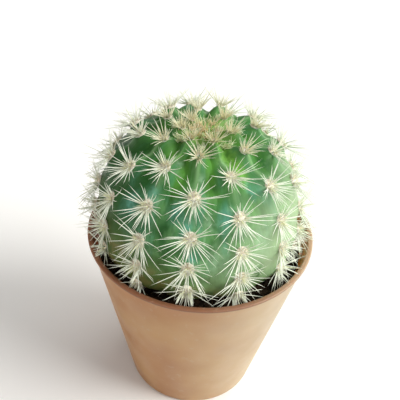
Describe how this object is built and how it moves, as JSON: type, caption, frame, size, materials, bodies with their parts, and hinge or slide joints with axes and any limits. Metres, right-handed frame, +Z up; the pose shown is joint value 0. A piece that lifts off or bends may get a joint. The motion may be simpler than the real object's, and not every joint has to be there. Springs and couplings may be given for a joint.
{
  "type": "potted globular cactus",
  "caption": "Small round ribbed cactus with fans of pale needles on felted areoles, standing in dark soil in a thin tapered plastic pot.",
  "frame": {"origin": "middle of the pot's flat underside", "axes": "+Z up the pot and the plant, -Y towards the front, +X to the right seen from the front"},
  "size_m": [0.0539, 0.0553, 0.0731],
  "materials": {
    "pot_plastic": "satin",
    "soil_mix": "matte",
    "cactus_skin": "satin",
    "areole_felt": "matte",
    "spine": "satin",
    "young_spine": "satin"
  },
  "bodies": {
    "root": {"pot": "pot_plastic", "soil": "soil_mix", "cactus": "cactus_skin"}
  },
  "joints": []
}
